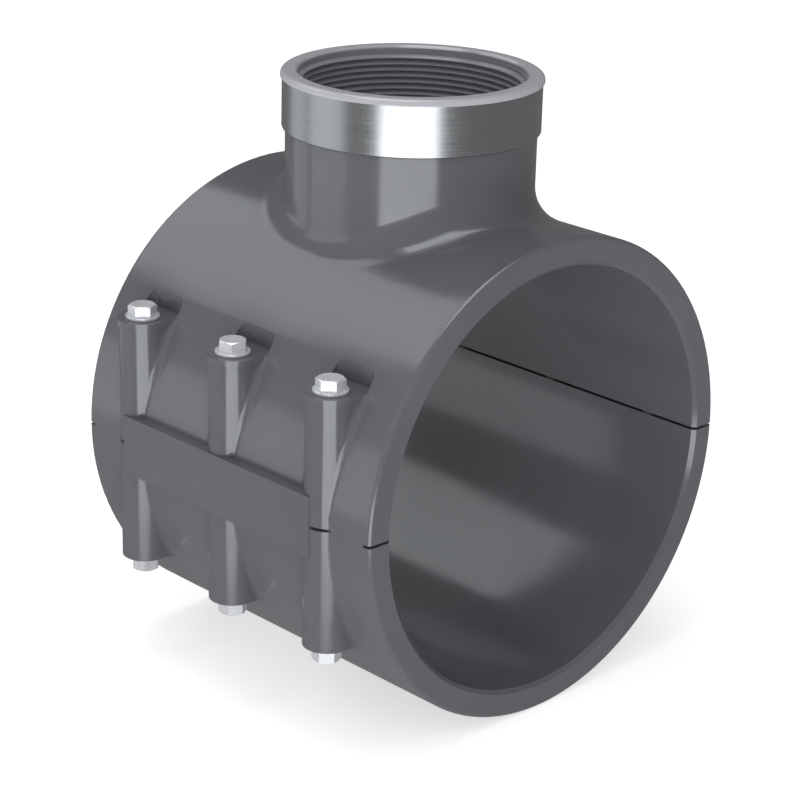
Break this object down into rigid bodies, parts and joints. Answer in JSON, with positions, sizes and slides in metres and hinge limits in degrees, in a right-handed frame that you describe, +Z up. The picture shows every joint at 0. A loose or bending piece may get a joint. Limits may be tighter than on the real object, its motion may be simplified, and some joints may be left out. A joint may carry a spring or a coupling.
{
  "type": "tapping saddle",
  "caption": "Two moulded half shells bolted round a run pipe, with a taper-threaded branch outlet reinforced by a metal ring.",
  "frame": {"origin": "where the run pipe's axis meets the outlet's axis, at the middle of the run bore", "axes": "+Y along the run pipe, +Z up out of the threaded outlet, bolts at +X and -X"},
  "size_m": [0.2592, 0.2126, 0.312],
  "materials": {
    "moulded_pvc": "semi-gloss moulded grey",
    "stainless_ring": "polished",
    "seal_rubber": "matt black",
    "fastener_steel": "bright zinc"
  },
  "bodies": {
    "root": {"upper_saddle_half": "moulded_pvc", "lower_saddle_half": "moulded_pvc", "outlet_reinforcing_ring": "stainless_ring", "outlet_seal": "seal_rubber", "hex_bolt_1": "fastener_steel", "hex_nut_1": "fastener_steel", "head_washer_1": "fastener_steel", "nut_washer_1": "fastener_steel", "hex_bolt_2": "fastener_steel", "hex_nut_2": "fastener_steel", "head_washer_2": "fastener_steel", "nut_washer_2": "fastener_steel", "hex_bolt_3": "fastener_steel", "hex_nut_3": "fastener_steel", "head_washer_3": "fastener_steel", "nut_washer_3": "fastener_steel", "hex_bolt_4": "fastener_steel", "hex_nut_4": "fastener_steel", "head_washer_4": "fastener_steel", "nut_washer_4": "fastener_steel", "hex_bolt_5": "fastener_steel", "hex_nut_5": "fastener_steel", "head_washer_5": "fastener_steel", "nut_washer_5": "fastener_steel", "hex_bolt_6": "fastener_steel", "hex_nut_6": "fastener_steel", "head_washer_6": "fastener_steel", "nut_washer_6": "fastener_steel"}
  },
  "joints": []
}
